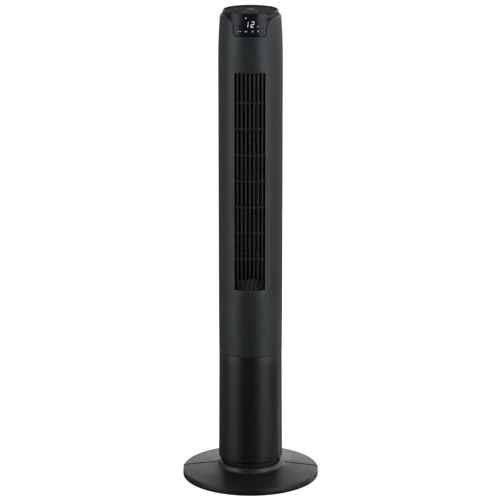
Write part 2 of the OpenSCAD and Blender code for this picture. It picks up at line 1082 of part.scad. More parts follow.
base_front_half();
base_rear_half();
base_feet();
base_screws();
base_nut();
spindle();
slide_ring();
retaining_rings();
sun_gear();
column_shell();
turntable();
turntable_screws();
motor_bracket();
swing_motor();
swing_motor_screws();
cord_gland();
coupling_ring();
coupling_screws();
front_shell();
rear_shell();
shell_screws();
front_grille();
scroll_duct();
stabiliser();
duct_floor();
duct_ceiling();
top_bearing_holder();
top_bush();
motor_mount();
motor_dampers();
motor_upper_bracket();
motor_lower_bracket();
motor_stator();
motor_windings();
motor_bolts();
run_capacitor();
power_board();
control_board();
key_switches();
display_board();
led_segments();
ir_receiver();
control_panel();
top_plate();
board_screws();
impeller_hub();
impeller_section(1);  // impeller_section_1
impeller_section(2);  // impeller_section_2
impeller_section(3);  // impeller_section_3
impeller_section(4);  // impeller_section_4
impeller_section(5);  // impeller_section_5
impeller_section(6);  // impeller_section_6
impeller_top_cap();
motor_rotor();
swing_pinion();
power_key();
speed_key();
mode_key();
timer_key();
swing_key();
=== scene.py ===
"""Looks of the tower fan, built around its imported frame.

Lengths are millimetres until a mesh is made. The camera, the lights and the materials are in metres.
"""

import json
import math

import bmesh
import bpy
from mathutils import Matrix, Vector


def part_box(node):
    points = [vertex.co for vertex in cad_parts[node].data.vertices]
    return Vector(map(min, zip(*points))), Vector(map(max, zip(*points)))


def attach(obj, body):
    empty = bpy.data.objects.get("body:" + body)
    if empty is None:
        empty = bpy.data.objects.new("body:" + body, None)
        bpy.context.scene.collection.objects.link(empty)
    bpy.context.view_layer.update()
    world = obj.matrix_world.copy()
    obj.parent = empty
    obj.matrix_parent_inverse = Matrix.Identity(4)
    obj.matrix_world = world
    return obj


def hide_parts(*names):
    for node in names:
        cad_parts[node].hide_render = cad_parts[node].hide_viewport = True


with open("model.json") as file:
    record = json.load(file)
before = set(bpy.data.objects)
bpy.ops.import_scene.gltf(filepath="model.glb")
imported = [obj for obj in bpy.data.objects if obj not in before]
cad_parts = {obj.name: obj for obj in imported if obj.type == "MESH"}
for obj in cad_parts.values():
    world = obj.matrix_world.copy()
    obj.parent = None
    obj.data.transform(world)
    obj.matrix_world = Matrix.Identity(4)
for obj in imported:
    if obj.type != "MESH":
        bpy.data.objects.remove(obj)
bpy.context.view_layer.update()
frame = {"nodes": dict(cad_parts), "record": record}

MM = 0.001


def high(node, axis):
    """Top of a node's box along one axis, in millimetres."""
    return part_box(node)[1][axis] / MM


def low(node, axis):
    """Bottom of a node's box along one axis, in millimetres."""
    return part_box(node)[0][axis] / MM


# ---- Driving sizes, from the frame ----

# The rear half's reach at its seam, a little less than the CAD base's full radius
BASE_R = high("base_rear_half", 0)
COLLAR_H = high("base_rear_half", 2)
SEAM_Y = low("base_rear_half", 1)
COLUMN_LOW = low("column_shell", 2)
COLUMN_HIGH = high("column_shell", 2)
FOOT_R = high("column_shell", 0)
HEAD_R = high("front_shell", 0)
HEAD_LOW = low("front_shell", 2)
HEAD_TOP = high("front_shell", 2)
FRAME_LOW = low("front_grille", 2)
FRAME_HIGH = high("front_grille", 2)
CAP_R = high("control_panel", 0)
TOTAL_H = high("control_panel", 2)
PLATE_TOP = high("top_plate", 2)
KEY_TOP = high("power_key", 2)


# ---- Sizes of the visible pieces ----

WALL = 2.5
# A turned disc keeps a hole of this radius at its middle, too narrow to see
DISC_CENTRE = 0.01

# Base: the collar's hole, the pivot's hole, the rim, the sloping top and what stands under it
BORE_R = 67.2
PIVOT_R = 24.3
RIM_TOP = 16.6
RIM_LOW = 1.5
RIM_ROUND = 1.2
SLOPE_IN_R = 90.0
SLOPE_IN_H = 24.0
FOOT_RING = BASE_R - 15
TAB_LOW = 9.0
TAB_HIGH = 11.5
TAB_SCREWS = (95, 130)
SEAM_GAP = 0.06
# Distance from the seam's face, and how far the top stands proud there
SEAM_STEPS = [(0.0, 0.95), (0.18, 0.50), (0.55, 0.16), (1.2, 0.0)]

# Column, and the screws that hold it to the head
COLUMN_TOP_R = 71.3
GLAND_H = 82
GLAND_R = 7
SCREW_LOW_ROW = 289.0
SCREW_HIGH_ROW = 315.0
SCREW_TURNS = (50, 130)
SCREW_HOLE_R = 3.5
THROUGH_WALL = (60, 90)

# Head shells
SHELL_SCREW_X = 62.0
SHELL_SCREW_ROWS = (342, 705, 1020)
SHELL_SCREWS = [(x, z) for z in SHELL_SCREW_ROWS for x in (-SHELL_SCREW_X, SHELL_SCREW_X)]
POST_R = 69.4
LEAN_FROM = 970.0
LEAN_R = 1290.0
SHOULDER_H = 1067.0
OPENING_R = 62.5

# Outlet window and its bars
WINDOW_W = 34.0
WINDOW_LOW = FRAME_LOW + 5
WINDOW_HIGH = FRAME_HIGH - 5
BAR_COUNT = 7
BAR_PITCH = 9.14
BAR_W = 4.2
CROSS_COUNT = 7
CROSS_H = 3.1
CROSS_FIRST = 530.6
CROSS_PITCH = 59.3

# Intake slots, in four recessed fields
SLOT_PITCH = 12.4
SLOT_H = 5.4
SLOT_W = 54.0
SLOT_ROWS = 9
FIELD_COUNT = 4
FIELD_PITCH = 122
FIELD_FIRST = 470
FIELD_W = 56.5
FIELD_EDGE = 57.2
FIELD_DEEP = 0.6

# Display tongue: its corners, then the bend where it widens to the cap
TONGUE_LOW = 1035.5
TONGUE_W = 35.3
TONGUE_CORNER = 5
TONGUE_SUNK = 0.2
GROOVE = 1.9
BEND_FROM = 1054
BEND_R = 33.4
BEND_START = math.radians(15.6)

# Cap
FLARE_LOW = 1058.0
FLARE_TOP = 1079.0
CAP_FOOT = 1069
CROTCH_X = 58.4
CROTCH_H = 1076.4
PLATE_LOW = PLATE_TOP - 2.4
KEYS = {"power_key": 9.0, "speed_key": 6.0, "mode_key": 6.0, "timer_key": 6.0, "swing_key": 6.0}
KEY_GAP = 0.35
KEY_DISH = 0.28


# ---- Camera, lights and stage ----

CAMERA_LENS = 189
CAMERA_DISTANCE = 5.742
CAMERA_HEIGHT = 2.033
CAMERA_SIDE = -0.0012
CAMERA_TURN = 1.2
CAMERA_TILT = 14.628
COOL = (0.92, 0.97, 1.0)
DIM_LIGHT = 0.07
BACK_LIGHT = 2.05
BACK_TURN = 42
BACK_FADE = (0.0, 0.75)
UP_FADE = (-0.22, 0.08)
HIGH_FADE = (0.15, 0.62)


def add_object(name, data):
    """Links a new object into the scene."""
    obj = bpy.data.objects.new(name, data)
    bpy.context.scene.collection.objects.link(obj)
    return obj


def look_along(obj, direction):
    """Turns a camera or light to face a direction, upright."""
    obj.rotation_mode = "QUATERNION"
    obj.rotation_quaternion = Vector(direction).to_track_quat("-Z", "Y")


def add_camera():
    data = bpy.data.cameras.new("camera")
    data.lens = CAMERA_LENS
    data.sensor_width = 36
    data.clip_end = 50
    cam = add_object("camera", data)
    turn = math.radians(CAMERA_TURN)
    tilt = math.radians(CAMERA_TILT)
    across = CAMERA_DISTANCE * math.sin(turn) + CAMERA_SIDE
    cam.location = (across, -CAMERA_DISTANCE * math.cos(turn), CAMERA_HEIGHT)
    look_along(cam, (-math.sin(turn) * math.cos(tilt), math.cos(turn) * math.cos(tilt), -math.sin(tilt)))
    bpy.context.scene.camera = cam


def add_light(name, azimuth, distance, height, size, power, aim):
    """A soft box round the fan. Azimuth 0 is in front and 90 to the right; aim is the height it faces."""
    data = bpy.data.lights.new(name, "AREA")
    data.shape = "RECTANGLE"
    data.size, data.size_y = size
    data.energy = power
    data.color = COOL
    lamp = add_object(name, data)
    a = math.radians(azimuth)
    lamp.location = (distance * math.sin(a), -distance * math.cos(a), height)
    look_along(lamp, Vector((0, 0, aim)) - lamp.location)
    lamp.visible_camera = False


def add_world():
    """White behind the fan for the camera; for light, a pale backdrop high behind it and dim elsewhere."""
    world = bpy.data.worlds.new("studio")
    world.use_nodes = True
    tree = world.node_tree
    tree.nodes.clear()
    out = tree.nodes.new("ShaderNodeOutputWorld")
    sky = tree.nodes.new("ShaderNodeBackground")
    backdrop = tree.nodes.new("ShaderNodeBackground")
    pick = tree.nodes.new("ShaderNodeMixShader")
    path = tree.nodes.new("ShaderNodeLightPath")
    coords = tree.nodes.new("ShaderNodeTexCoord")
    axes = tree.nodes.new("ShaderNodeSeparateXYZ")
    turn = tree.nodes.new("ShaderNodeMapping")
    turn.inputs["Rotation"].default_value = (0, 0, math.radians(BACK_TURN))
    tree.links.new(coords.outputs["Generated"], turn.inputs["Vector"])
    tree.links.new(turn.outputs["Vector"], axes.inputs[0])

    def fade(axis, start, end):
        node = tree.nodes.new("ShaderNodeMapRange")
        node.interpolation_type = "SMOOTHSTEP"
        node.inputs["From Min"].default_value = start
        node.inputs["From Max"].default_value = end
        tree.links.new(axes.outputs[axis], node.inputs["Value"])
        return node.outputs["Result"]

    def combine(operation, *values):
        node = tree.nodes.new("ShaderNodeMath")
        node.operation = operation
        for socket, value in zip(node.inputs, values):
            if isinstance(value, float):
                socket.default_value = value
            else:
                tree.links.new(value, socket)
        return node.outputs[0]

    band = combine("SUBTRACT", fade("Z", *UP_FADE), fade("Z", *HIGH_FADE))
    behind = combine("MULTIPLY", fade("Y", *BACK_FADE), band)
    strength = combine("MULTIPLY_ADD", behind, BACK_LIGHT, DIM_LIGHT)
    sky.inputs["Color"].default_value = (0.96, 0.98, 1.0, 1)
    tree.links.new(strength, sky.inputs["Strength"])
    backdrop.inputs["Color"].default_value = (1, 1, 1, 1)
    tree.links.new(path.outputs["Is Camera Ray"], pick.inputs[0])
    tree.links.new(sky.outputs[0], pick.inputs[1])
    tree.links.new(backdrop.outputs[0], pick.inputs[2])
    tree.links.new(pick.outputs[0], out.inputs["Surface"])
    bpy.context.scene.world = world


def add_floor():
    """A pale round floor, bright enough to leave only the softest shadow."""
    bm = bmesh.new()
    bmesh.ops.create_circle(bm, cap_ends=True, segments=96, radius=9)
    mesh = bpy.data.meshes.new("floor")
    bm.to_mesh(mesh)
    bm.free()
    floor = add_object("floor", mesh)
    material = bpy.data.materials.new("floor_white")
    material.use_nodes = True
    shader = material.node_tree.nodes["Principled BSDF"]
    shader.inputs["Base Color"].default_value = (0.9, 0.9, 0.9, 1)
    shader.inputs["Roughness"].default_value = 0.9
    shader.inputs["Emission Color"].default_value = (1, 1, 1, 1)
    shader.inputs["Emission Strength"].default_value = 0.93
    mesh.materials.append(material)
    floor.visible_glossy = False
    floor.visible_diffuse = False


add_camera()
add_world()
add_floor()
add_light("left_box", -62, 2.6, 1.5, (1.8, 4.0), 56, aim=1.5)
add_light("right_box", 52, 2.6, 1.5, (1.7, 4.0), 60, aim=1.5)
add_light("left_side", -118, 2.6, 0.6, (1.6, 2.6), 3.6, aim=0.6)
add_light("right_side", 118, 2.6, 0.6, (1.6, 2.6), 0.8, aim=0.6)
add_light("edge_box", 130, 2.6, -0.75, (0.7, 0.9), 3.0, aim=-0.75)
add_light("top_box", 0, 0.1, 3.3, (3.6, 1.2), 8, aim=0.5)
bpy.context.scene.view_settings.view_transform = "Standard"


# ---- Materials ----

def node_material(name):
    material = bpy.data.materials.new(name)
    material.use_nodes = True
    tree = material.node_tree
    shader = tree.nodes["Principled BSDF"]
    coords = tree.nodes.new("ShaderNodeTexCoord")
    return material, tree, shader, coords.outputs["Object"]


def noise(tree, coords, scale, detail=2.0, stretch=None):
    """Noise in the object's own metres. Stretch scales it along each axis."""
    if stretch:
        mapping = tree.nodes.new("ShaderNodeMapping")
        mapping.inputs["Scale"].default_value = stretch
        tree.links.new(coords, mapping.inputs["Vector"])
        coords = mapping.outputs["Vector"]
    tex = tree.nodes.new("ShaderNodeTexNoise")
    tex.inputs["Scale"].default_value = scale
    tex.inputs["Detail"].default_value = detail
    tree.links.new(coords, tex.inputs["Vector"])
    return tex.outputs["Fac"]


def ranged(tree, value, low_out, high_out):
    """Spreads the middle of a pattern's range over two output values."""
    node = tree.nodes.new("ShaderNodeMapRange")
    node.inputs["From Min"].default_value = 0.3
    node.inputs["From Max"].default_value = 0.7
    node.inputs["To Min"].default_value = low_out
    node.inputs["To Max"].default_value = high_out
    tree.links.new(value, node.inputs["Value"])
    return node.outputs["Result"]


def ramp(tree, value, dark, light):
    node = tree.nodes.new("ShaderNodeValToRGB")
    node.color_ramp.elements[0].position = 0.3
    node.color_ramp.elements[1].position = 0.7
    node.color_ramp.elements[0].color = (*dark, 1)
    node.color_ramp.elements[1].color = (*light, 1)
    tree.links.new(value, node.inputs["Fac"])
    return node.outputs["Color"]


def bump(tree, shader, height, strength, distance):
    node = tree.nodes.new("ShaderNodeBump")
    node.inputs["Strength"].default_value = strength
    node.inputs["Distance"].default_value = distance
    tree.links.new(height, node.inputs["Height"])
    tree.links.new(node.outputs["Normal"], shader.inputs["Normal"])


def plastic(name, color, rough, grain=0.0006, depth=0.00002, spread=0.05, specular=0.5):
    """Moulded plastic: grain of a size and depth in metres, and gloss and shade that wander a little."""
    material, tree, shader, coords = node_material(name)
    cloud = noise(tree, coords, 14.0, 3.0)
    dark = [c * 0.9 for c in color]
    light = [c * 1.1 for c in color]
    tree.links.new(ramp(tree, cloud, dark, light), shader.inputs["Base Color"])
    smudge = noise(tree, coords, 32.0, 4.0, (1, 1, 0.5))
    tree.links.new(ranged(tree, smudge, rough - spread, rough + spread), shader.inputs["Roughness"])
    shader.inputs["Specular IOR Level"].default_value = specular
    bump(tree, shader, noise(tree, coords, 1 / grain, 2.0), 0.35, depth)
    return material


def metal(name, color, rough, brushed=(1, 1, 1)):
    """Metal with fine streaks. Brushed scales them along each axis."""
    material, tree, shader, coords = node_material(name)
    cloud = noise(tree, coords, 60.0, 3.0)
    tree.links.new(ramp(tree, cloud, [c * 0.85 for c in color], color), shader.inputs["Base Color"])
    shader.inputs["Metallic"].default_value = 1.0
    streaks = noise(tree, coords, 900.0, 3.0, brushed)
    tree.links.new(ranged(tree, streaks, rough - 0.08, rough + 0.1), shader.inputs["Roughness"])
    bump(tree, shader, streaks, 0.2, 0.00002)
    return material


def laminate(name, color, line_color, pitch):
    """Layers stacked along Z, as in a stator stack, or turns of wire."""
    material, tree, shader, coords = node_material(name)
    wave = tree.nodes.new("ShaderNodeTexWave")
    wave.bands_direction = "Z"
    wave.inputs["Scale"].default_value = 1 / (pitch * 3.2)
    wave.inputs["Distortion"].default_value = 0.4
    tree.links.new(coords, wave.inputs["Vector"])
    tree.links.new(ramp(tree, wave.outputs["Fac"], line_color, color), shader.inputs["Base Color"])
    shader.inputs["Metallic"].default_value = 0.9
    tree.links.new(ranged(tree, noise(tree, coords, 700.0), 0.3, 0.5), shader.inputs["Roughness"])
    bump(tree, shader, wave.outputs["Fac"], 0.5, 0.0001)
    return material


def circuit(name):
    """Green board with paler tracks and small pads."""
    material, tree, shader, coords = node_material(name)
    cells = tree.nodes.new("ShaderNodeTexVoronoi")
    cells.distance = "MANHATTAN"
    cells.feature = "F1"
    cells.inputs["Scale"].default_value = 210.0
    tree.links.new(coords, cells.inputs["Vector"])
    tree.links.new(ramp(tree, cells.outputs["Distance"], (0.10, 0.24, 0.10), (0.012, 0.07, 0.03)),
                   shader.inputs["Base Color"])
    tree.links.new(ranged(tree, noise(tree, coords, 300.0), 0.28, 0.42), shader.inputs["Roughness"])
    bump(tree, shader, cells.outputs["Distance"], 0.3, 0.00005)
    return material


def glow(name, color, strength):
    """Light-emitting film, a little uneven as such segments are."""
    material, tree, shader, coords = node_material(name)
    shader.inputs["Base Color"].default_value = (0.6, 0.6, 0.65, 1)
    shader.inputs["Emission Color"].default_value = (*color, 1)
    uneven = noise(tree, coords, 260.0, 1.0)
    power = ranged(tree, uneven, strength * 0.85, strength * 1.1)
    tree.links.new(power, shader.inputs["Emission Strength"])
    return material


BLACK = (0.0165, 0.0185, 0.0205)
FINISHES = {
    "head_plastic": (plastic, dict(color=BLACK, rough=0.46, specular=0.42)),
    "column_plastic": (plastic, dict(color=(0.0035, 0.0038, 0.0046), rough=0.41, specular=0.42)),
    "base_plastic": (plastic, dict(color=(0.0075, 0.0078, 0.009), rough=0.42, grain=0.0008, depth=0.00003)),
    "grille_plastic": (plastic, dict(color=(0.006, 0.0065, 0.0075), rough=0.40, specular=0.31)),
    "duct_plastic": (plastic, dict(color=(0.012, 0.012, 0.013), rough=0.5)),
    "wheel_plastic": (plastic, dict(color=(0.07, 0.073, 0.078), rough=0.42)),
    "panel_gloss": (plastic, dict(color=(0.004, 0.005, 0.010), rough=0.27, grain=0.0015, depth=0.000004,
                                  spread=0.03, specular=0.27)),
    "key_gloss": (plastic, dict(color=(0.008, 0.009, 0.010), rough=0.7, grain=0.0008, specular=0.06)),
    "pivot_plastic": (plastic, dict(color=(0.03, 0.03, 0.032), rough=0.5)),
    "slide_plastic": (plastic, dict(color=(0.72, 0.70, 0.64), rough=0.35, grain=0.001, depth=0.00001)),
    "switch_plastic": (plastic, dict(color=(0.25, 0.25, 0.26), rough=0.4)),
    "capacitor_case": (plastic, dict(color=(0.62, 0.62, 0.58), rough=0.38)),
    "foot_rubber": (plastic, dict(color=(0.025, 0.025, 0.025), rough=0.85, depth=0.00008, specular=0.3)),
    "motor_rubber": (plastic, dict(color=(0.02, 0.02, 0.02), rough=0.8, depth=0.00008, specular=0.3)),
    "screw_steel": (metal, dict(color=(0.55, 0.56, 0.58), rough=0.3)),
    "bush_bronze": (metal, dict(color=(0.52, 0.36, 0.18), rough=0.35)),
    "motor_steel": (metal, dict(color=(0.58, 0.59, 0.60), rough=0.32, brushed=(1, 1, 0.1))),
    "stack_steel": (laminate, dict(color=(0.42, 0.42, 0.44), line_color=(0.12, 0.12, 0.13), pitch=0.0006)),
    "winding_copper": (laminate, dict(color=(0.62, 0.26, 0.10), line_color=(0.22, 0.07, 0.02), pitch=0.0008)),
    "circuit_board": (circuit, {}),
    "led_light": (glow, dict(color=(0.86, 0.84, 1.0), strength=0.62)),
}
MATERIALS = {name: kind(name, **values) for name, (kind, values) in FINISHES.items()}
# Floor of the outlet duct: a pale grey, far lighter than the duct plastic, is painted light for the light
# falling on it through the grille
SILL_PAINTED_LIGHT = plastic("sill_painted_light", (0.24, 0.245, 0.25), 0.5)
# Turntable neck in the gap under the column: black plastic, made darker and duller than its slot's, as
# painted shade for the shadow in that gap
NECK_PAINTED_SHADE = plastic("neck_painted_shade", (0.014, 0.014, 0.015), 0.55, specular=0.25)
DIM_GLOW = glow("led_dim", (0.62, 0.62, 0.80), 0.11)
MARK_GREY = plastic("mark_grey", (0.3, 0.3, 0.31), 0.5)
KEY_PALE = plastic("key_pale", (0.045, 0.047, 0.05), 0.5, specular=0.2)


# ---- Mesh helpers ----

def lean(z):
    """Radius of the head where its sides lean in."""
    return HEAD_R - max(z - LEAN_FROM, 0) ** 2 / (2 * LEAN_R)


def arc(x, y, r, a0, a1, steps):
    """Points on an arc round (x, y), from angle a0 to a1 in degrees."""
    out = []
    for i in range(steps + 1):
        a = math.radians(a0 + (a1 - a0) * i / steps)
        out.append((x + r * math.cos(a), y + r * math.sin(a)))
    return out


def smooth_line(points, steps):
    """A curve through every point, with a few new points in each stretch."""
    out = [points[0]]
    for i in range(len(points) - 1):
        p0 = points[max(i - 1, 0)]
        p1, p2 = points[i], points[i + 1]
        p3 = points[min(i + 2, len(points) - 1)]
        for k in range(1, steps + 1):
            t = k / steps
            out.append(tuple(
                0.5 * (2 * b + (c - a) * t + (2 * a - 5 * b + 4 * c - d) * t * t
                       + (3 * b - a - 3 * c + d) * t ** 3)
                for a, b, c, d in zip(p0, p1, p2, p3)
            ))
    return out


def spaced(a, b, count):
    """Values from a to b, both among them, in count equal steps."""
    return [a + (b - a) * i / count for i in range(count + 1)]


def clean_mesh(name, verts, faces, merge):
    """A mesh in metres. Points nearer than merge become one, and every face looks outwards."""
    mesh = bpy.data.meshes.new(name)
    mesh.from_pydata([[c * MM for c in v] for v in verts], [], faces)
    bm = bmesh.new()
    bm.from_mesh(mesh)
    bmesh.ops.remove_doubles(bm, verts=bm.verts, dist=merge)
    bmesh.ops.recalc_face_normals(bm, faces=bm.faces)
    bm.to_mesh(mesh)
    bm.free()
    return mesh


def make(name, verts, faces, sharp, bevel=None):
    """A piece that is smooth apart from its sharp edges, with narrow rounded edges if asked."""
    obj = add_object(name, clean_mesh(name, verts, faces, 0.000002))
    if bevel:
        mod = obj.modifiers.new("edges", "BEVEL")
        mod.width = bevel * MM
        mod.segments = 2
        mod.limit_method = "ANGLE"
        mod.angle_limit = math.radians(45)
        settle(obj)
    shade(obj, sharp)
    return obj


def settle(obj):
    """Applies the modifiers."""
    graph = bpy.context.evaluated_depsgraph_get()
    mesh = bpy.data.meshes.new_from_object(obj.evaluated_get(graph))
    old = obj.data
    obj.modifiers.clear()
    obj.data = mesh
    bpy.data.meshes.remove(old)


def shade(obj, sharp):
    """Smooth faces, with the edges that turn by more than sharp degrees left hard."""
    limit = math.radians(sharp)
    bm = bmesh.new()
    bm.from_mesh(obj.data)
    for face in bm.faces:
        face.smooth = True
    for edge in bm.edges:
        edge.smooth = len(edge.link_faces) == 2 and edge.calc_face_angle(0) < limit
    bm.to_mesh(obj.data)
    bm.free()


def dress(obj, body, nodes, slot, material=None):
    """Gives a piece its finish and its body, and hides the CAD nodes that it stands for."""
    obj.data.materials.clear()
    obj.data.materials.append(material or MATERIALS[slot])
    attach(obj, body)
    if nodes:
        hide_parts(*nodes)


def bands(count, n, start=0, closed=False):
    """Faces between count + 1 closed loops of n points, or between count loops that close on themselves."""
    faces = []
    for j in range(count):
        a = start + j * n
        b = start + ((j + 1) % count if closed else j + 1) * n
        for i in range(n):
            m = (i + 1) % n
            faces.append((a + i, b + i, b + m, a + m))
    return faces


def turned(loop, steps, centre=(0, 0)):
    """A closed loop of (r, z) turned fully about Z. One from DISC_CENTRE to DISC_CENTRE makes a disc."""
    verts = []
    for j in range(steps):
        a = 2 * math.pi * j / steps
        for r, z in loop:
            verts.append((centre[0] + r * math.cos(a), centre[1] + r * math.sin(a), z))
    return verts, bands(steps, len(loop), closed=True)


def post(x, y, r, z0, z1):
    """A round post along Z."""
    return turned([(DISC_CENTRE, z0), (r, z0), (r, z1), (DISC_CENTRE, z1)], 32, (x, y))


def prism(near, far):
    """A closed shape between two outlines with the same number of points."""
    n = len(near)
    faces = [tuple(range(n)), tuple(range(2 * n - 1, n - 1, -1))]
    for k in range(n):
        m = (k + 1) % n
        faces.append((k, n + k, n + m, m))
    return near + far, faces


def circle(x, y, r, steps):
    """Points round a full circle, the first one not repeated."""
    return [(x + r * math.cos(2 * math.pi * k / steps), y + r * math.sin(2 * math.pi * k / steps))
            for k in range(steps)]


def block(lo, hi):
    """A closed box between two corners."""
    corners = ((lo[0], lo[1]), (hi[0], lo[1]), (hi[0], hi[1]), (lo[0], hi[1]))
    verts = [(x, y, z) for z in (lo[2], hi[2]) for x, y in corners]
    faces = [(3, 2, 1, 0), (4, 5, 6, 7)]
    for k in range(4):
        m = (k + 1) % 4
        faces.append((k, m, 4 + m, 4 + k))
    return verts, faces


def joined(*parts):
    """One list of vertices and faces from several."""
    verts, faces = [], []
    for v, f in parts:
        start = len(verts)
        verts += list(v)
        faces += [tuple(i + start for i in face) for face in f]
    return verts, faces


def slab(outer, inner, solid):
    """A closed wall between two grids of points, where solid(row, column) is true."""
    rows, cols = len(outer), len(outer[0])
    verts = [p for row in outer for p in row] + [p for row in inner for p in row]
    back = rows * cols
    faces = []

    def at(i, j):
        return i * cols + j

    def filled(i, j):
        return 0 <= i < rows - 1 and 0 <= j < cols - 1 and solid(i, j)

    for i in range(rows - 1):
        for j in range(cols - 1):
            if not solid(i, j):
                continue
            a, b, c, d = at(i, j), at(i, j + 1), at(i + 1, j + 1), at(i + 1, j)
            faces.append((a, b, c, d))
            faces.append((back + d, back + c, back + b, back + a))
            for p, q, ni, nj in ((a, b, i - 1, j), (b, c, i, j + 1), (c, d, i + 1, j), (d, a, i, j - 1)):
                if not filled(ni, nj):
                    faces.append((q, p, back + p, back + q))
    used = sorted({i for f in faces for i in f})
    place = {v: k for k, v in enumerate(used)}
    return [verts[i] for i in used], [tuple(place[i] for i in f) for f in faces]


def tube_y(x, z, r, y0, y1, steps):
    """A closed cylinder along Y."""
    ring = circle(x, z, r, steps)
    return prism([(px, y0, pz) for px, pz in ring], [(px, y1, pz) for px, pz in ring])


def joint_screw_holes(height):
    """Cutters for the two screw holes at the back where column and head meet."""
    holes = []
    for turn in SCREW_TURNS:
        s, c = math.sin(math.radians(turn)), math.cos(math.radians(turn))
        verts, faces = tube_y(0, height, SCREW_HOLE_R, *THROUGH_WALL, 24)
        holes.append(([(x * s + y * c, -x * c + y * s, z) for x, y, z in verts], faces))
    return holes


def cut(obj, cutters, sharp):
    """Takes closed cutter shapes out of a piece. The merge closes the ends of the turned ones."""
    mesh = clean_mesh("cutter", *joined(*cutters), 0.000004)
    tool = add_object("cutter", mesh)
    mod = obj.modifiers.new("cut", "BOOLEAN")
    mod.operation = "DIFFERENCE"
    mod.solver = "EXACT"
    mod.object = tool
    settle(obj)
    bpy.data.objects.remove(tool)
    bpy.data.meshes.remove(mesh)
    shade(obj, sharp)


# ---- Base ----

def slope(r):
    """Height of the base's sloping top at a radius."""
    return SLOPE_IN_H - (r - SLOPE_IN_R) * (SLOPE_IN_H - RIM_TOP) / (BASE_R - RIM_ROUND - SLOPE_IN_R)


def base_top():
    """Upper outline of the base, from the collar's hole out to the rim."""
    lip = COLLAR_H - 0.5
    collar = smooth_line([(69, lip), (70.9, lip - 0.9), (72.6, lip - 2.5), (73.7, lip - 4.8),
                          (74.6, lip - 7.2), (75.7, 28.3), (77.4, 26.9), (80, 25.8),
                          (SLOPE_IN_R, SLOPE_IN_H)], 4)
    flat = [(r, slope(r)) for r in (100, 115, 130, 145, 151)]
    rim = arc(BASE_R - RIM_ROUND, RIM_TOP - RIM_ROUND, RIM_ROUND, 90, 0, 5)
    rim += [(BASE_R, 8), (BASE_R, RIM_LOW + 0.8), (BASE_R - 0.8, RIM_LOW)]
    return [(BORE_R, lip), (BORE_R + 0.8, lip)] + collar + flat + rim


def base_under():
    """Lower outline of the base, from the rim in to the pivot's hole and up the collar's hole."""
    rim = [(BASE_R - WALL, RIM_LOW), (BASE_R - WALL, RIM_TOP - WALL - 0.5)]
    flat = [(r, slope(r) - WALL) for r in (130, 110, 90)]
    collar = [(83, 22.9), (76, 23.7), (73, 27), (71.4, COLLAR_H - 7), (BORE_R + 2.4, COLLAR_H - 5)]
    floor_low, floor_top = 24.3, 27
    floor = [(BORE_R + 2.4, floor_low), (PIVOT_R, floor_low), (PIVOT_R, floor_top), (BORE_R, floor_top)]
    return rim + flat + collar + floor


def raised(points, i, height):
    """A point of the upper outline moved outwards, square to the outline."""
    a = points[max(i - 1, 0)]
    b = points[min(i + 1, len(points) - 1)]
    dx, dy = b[0] - a[0], b[1] - a[1]
    size = math.hypot(dx, dy)
    return points[i][0] - height * dy / size, points[i][1] + height * dx / size


def base_half(front):
    """One half shell of the base, with a narrow bead on top along the seam."""
    top = base_top()
    outline = top + base_under()
    sign = -1 if front else 1
    columns = []

    def column(height, place):
        line = []
        for i, point in enumerate(outline):
            r, z = raised(top, i, height) if i < len(top) and height else point
            line.append(place(r, z))
        columns.append(line)

    def seam_columns(steps, side):
        for distance, height in steps:
            y = SEAM_Y + sign * (distance + SEAM_GAP)
            column(height, lambda r, z: (side * math.sqrt(max(r * r - y * y, 0)), y, z))

    seam_columns(SEAM_STEPS, 1)
    last_y = SEAM_Y + sign * (SEAM_STEPS[-1][0] + SEAM_GAP)
    steps = 112
    for j in range(1, steps):
        def place(r, z, t=j / steps):
            first = math.asin(last_y / r)
            turn = -(math.pi + 2 * first) if front else math.pi - 2 * first
            a = first + turn * t
            return r * math.cos(a), r * math.sin(a), z
        column(0, place)
    seam_columns(reversed(SEAM_STEPS), -1)
    n = len(outline)
    verts = [p for line in columns for p in line]
    faces = bands(len(columns) - 1, n)
    faces.append(tuple(range(n)))
    faces.append(tuple((len(columns) - 1) * n + i for i in range(n - 1, -1, -1)))
    return verts, faces


def base_posts(front):
    """What stands under the base's top: foot posts, screw posts and the tabs of the front half."""
    parts = []
    foot_post_r, screw_post_r = 9.4, 4
    tab_half = 24
    for a in (210, 270, 330) if front else (30, 90, 150):
        x, y = FOOT_RING * math.cos(math.radians(a)), FOOT_RING * math.sin(math.radians(a))
        parts.append(post(x, y, foot_post_r, RIM_LOW, slope(FOOT_RING) - 1))
    for side in (-1, 1):
        for x in TAB_SCREWS:
            if front:
                parts.append(post(side * x, SEAM_Y - 8, screw_post_r, TAB_LOW + 0.5, slope(x) - 1))
            else:
                parts.append(post(side * x, SEAM_Y + 9, screw_post_r, TAB_HIGH, slope(x + 3) - 1))
        if front:
            middle = side * sum(TAB_SCREWS) / 2
            near = (middle - tab_half, SEAM_Y - 14, TAB_LOW)
            parts.append(block(near, (middle + tab_half, SEAM_Y + 16, TAB_HIGH)))
    return parts


def build_base():
    """Both half shells and the six feet."""
    for front, name in ((True, "base_front"), (False, "base_rear")):
        parts = [base_half(front)] + base_posts(front)
        dress(make(name, *joined(*parts), 50), "base", [name + "_half"], "base_plastic")
    pads = []
    loop = [(DISC_CENTRE, 0), (7.6, 0), (8.5, 0.25), (9, 0.8), (9, RIM_LOW), (DISC_CENTRE, RIM_LOW)]
    for i in range(6):
        a = math.radians(30 + 60 * i)
        pads.append(turned(loop, 40, (FOOT_RING * math.cos(a), FOOT_RING * math.sin(a))))
    dress(make("rubber_feet", *joined(*pads), 50), "base", ["base_feet"], "foot_rubber")


# ---- Column ----

